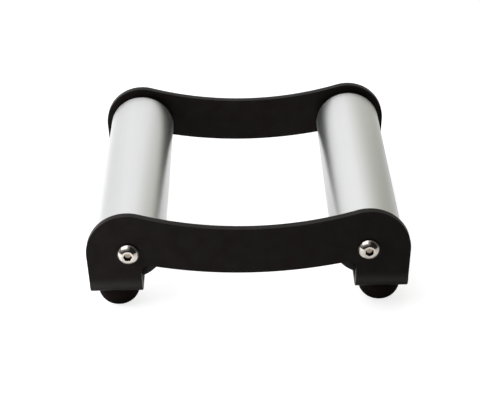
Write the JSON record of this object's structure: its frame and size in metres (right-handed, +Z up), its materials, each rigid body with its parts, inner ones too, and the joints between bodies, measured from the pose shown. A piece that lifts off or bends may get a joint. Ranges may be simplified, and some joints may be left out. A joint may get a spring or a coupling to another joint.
{
  "type": "bike rollers",
  "caption": "Compact wheel stand: satin aluminium rollers on ball bearings between black bent-steel side plates with a low waist, on domed rubber feet.",
  "frame": {"origin": "on the floor, under the middle of the stand", "axes": "+X along the side plates from the left roller to the right one, +Y along the roller axles away from the front plate, +Z up"},
  "size_m": [0.2024, 0.2094, 0.073],
  "materials": {
    "powder_coat": "matte black powder coat",
    "roller_aluminium": "satin drawn tube",
    "cap_plastic": "matte black",
    "bearing_steel": "ground",
    "ball_steel": "polished",
    "seal_rubber": "matte",
    "spring_steel": "oiled black",
    "axle_steel": "drawn bar",
    "zinc_steel": "zinc plated",
    "stainless": "polished",
    "foot_rubber": "matte moulded rubber"
  },
  "bodies": {
    "frame": {"side_plate_front": "powder_coat", "side_plate_rear": "powder_coat", "foot_front_left": "foot_rubber", "foot_stud_front_left": "zinc_steel", "foot_front_right": "foot_rubber", "foot_stud_front_right": "zinc_steel", "foot_rear_left": "foot_rubber", "foot_stud_rear_left": "zinc_steel", "foot_rear_right": "foot_rubber", "foot_stud_rear_right": "zinc_steel", "axle_left": "axle_steel", "bearing_inner_left_front": "bearing_steel", "axle_spacer_left_front": "zinc_steel", "axle_bolt_left_front": "stainless", "bearing_inner_left_rear": "bearing_steel", "axle_spacer_left_rear": "zinc_steel", "axle_bolt_left_rear": "stainless", "axle_right": "axle_steel", "bearing_inner_right_front": "bearing_steel", "axle_spacer_right_front": "zinc_steel", "axle_bolt_right_front": "stainless", "bearing_inner_right_rear": "bearing_steel", "axle_spacer_right_rear": "zinc_steel", "axle_bolt_right_rear": "stainless"},
    "roller_left": {"roller_tube_left": "roller_aluminium", "end_cap_left_front": "cap_plastic", "bearing_outer_left_front": "bearing_steel", "snap_ring_left_front": "spring_steel", "bearing_seal_outer_left_front": "seal_rubber", "bearing_seal_inner_left_front": "seal_rubber", "end_cap_left_rear": "cap_plastic", "bearing_outer_left_rear": "bearing_steel", "snap_ring_left_rear": "spring_steel", "bearing_seal_outer_left_rear": "seal_rubber", "bearing_seal_inner_left_rear": "seal_rubber"},
    "roller_right": {"roller_tube_right": "roller_aluminium", "end_cap_right_front": "cap_plastic", "bearing_outer_right_front": "bearing_steel", "snap_ring_right_front": "spring_steel", "bearing_seal_outer_right_front": "seal_rubber", "bearing_seal_inner_right_front": "seal_rubber", "end_cap_right_rear": "cap_plastic", "bearing_outer_right_rear": "bearing_steel", "snap_ring_right_rear": "spring_steel", "bearing_seal_outer_right_rear": "seal_rubber", "bearing_seal_inner_right_rear": "seal_rubber"},
    "ball_set_left_front": {"bearing_balls_left_front": "ball_steel"},
    "ball_set_left_rear": {"bearing_balls_left_rear": "ball_steel"},
    "ball_set_right_front": {"bearing_balls_right_front": "ball_steel"},
    "ball_set_right_rear": {"bearing_balls_right_rear": "ball_steel"}
  },
  "joints": [
    {"name": "roller_left_spin", "type": "hinge", "parent": "frame", "child": "roller_left", "pos_m": [-0.075, 0, 0.0468], "axis": [0, 1, 0], "continuous": true},
    {"name": "roller_right_spin", "type": "hinge", "parent": "frame", "child": "roller_right", "pos_m": [0.075, 0, 0.0468], "axis": [0, 1, 0], "continuous": true},
    {"name": "ball_set_left_front_spin", "type": "hinge", "parent": "frame", "child": "ball_set_left_front", "pos_m": [-0.075, -0.0847, 0.0468], "axis": [0, 1, 0], "continuous": true},
    {"name": "ball_set_left_rear_spin", "type": "hinge", "parent": "frame", "child": "ball_set_left_rear", "pos_m": [-0.075, 0.0847, 0.0468], "axis": [0, 1, 0], "continuous": true},
    {"name": "ball_set_right_front_spin", "type": "hinge", "parent": "frame", "child": "ball_set_right_front", "pos_m": [0.075, -0.0847, 0.0468], "axis": [0, 1, 0], "continuous": true},
    {"name": "ball_set_right_rear_spin", "type": "hinge", "parent": "frame", "child": "ball_set_right_rear", "pos_m": [0.075, 0.0847, 0.0468], "axis": [0, 1, 0], "continuous": true}
  ],
  "couplings": [
    {"joint": "ball_set_left_front_spin", "follows": "roller_left_spin", "ratio": 0.619},
    {"joint": "ball_set_left_rear_spin", "follows": "roller_left_spin", "ratio": 0.619},
    {"joint": "ball_set_right_front_spin", "follows": "roller_right_spin", "ratio": 0.619},
    {"joint": "ball_set_right_rear_spin", "follows": "roller_right_spin", "ratio": 0.619}
  ]
}
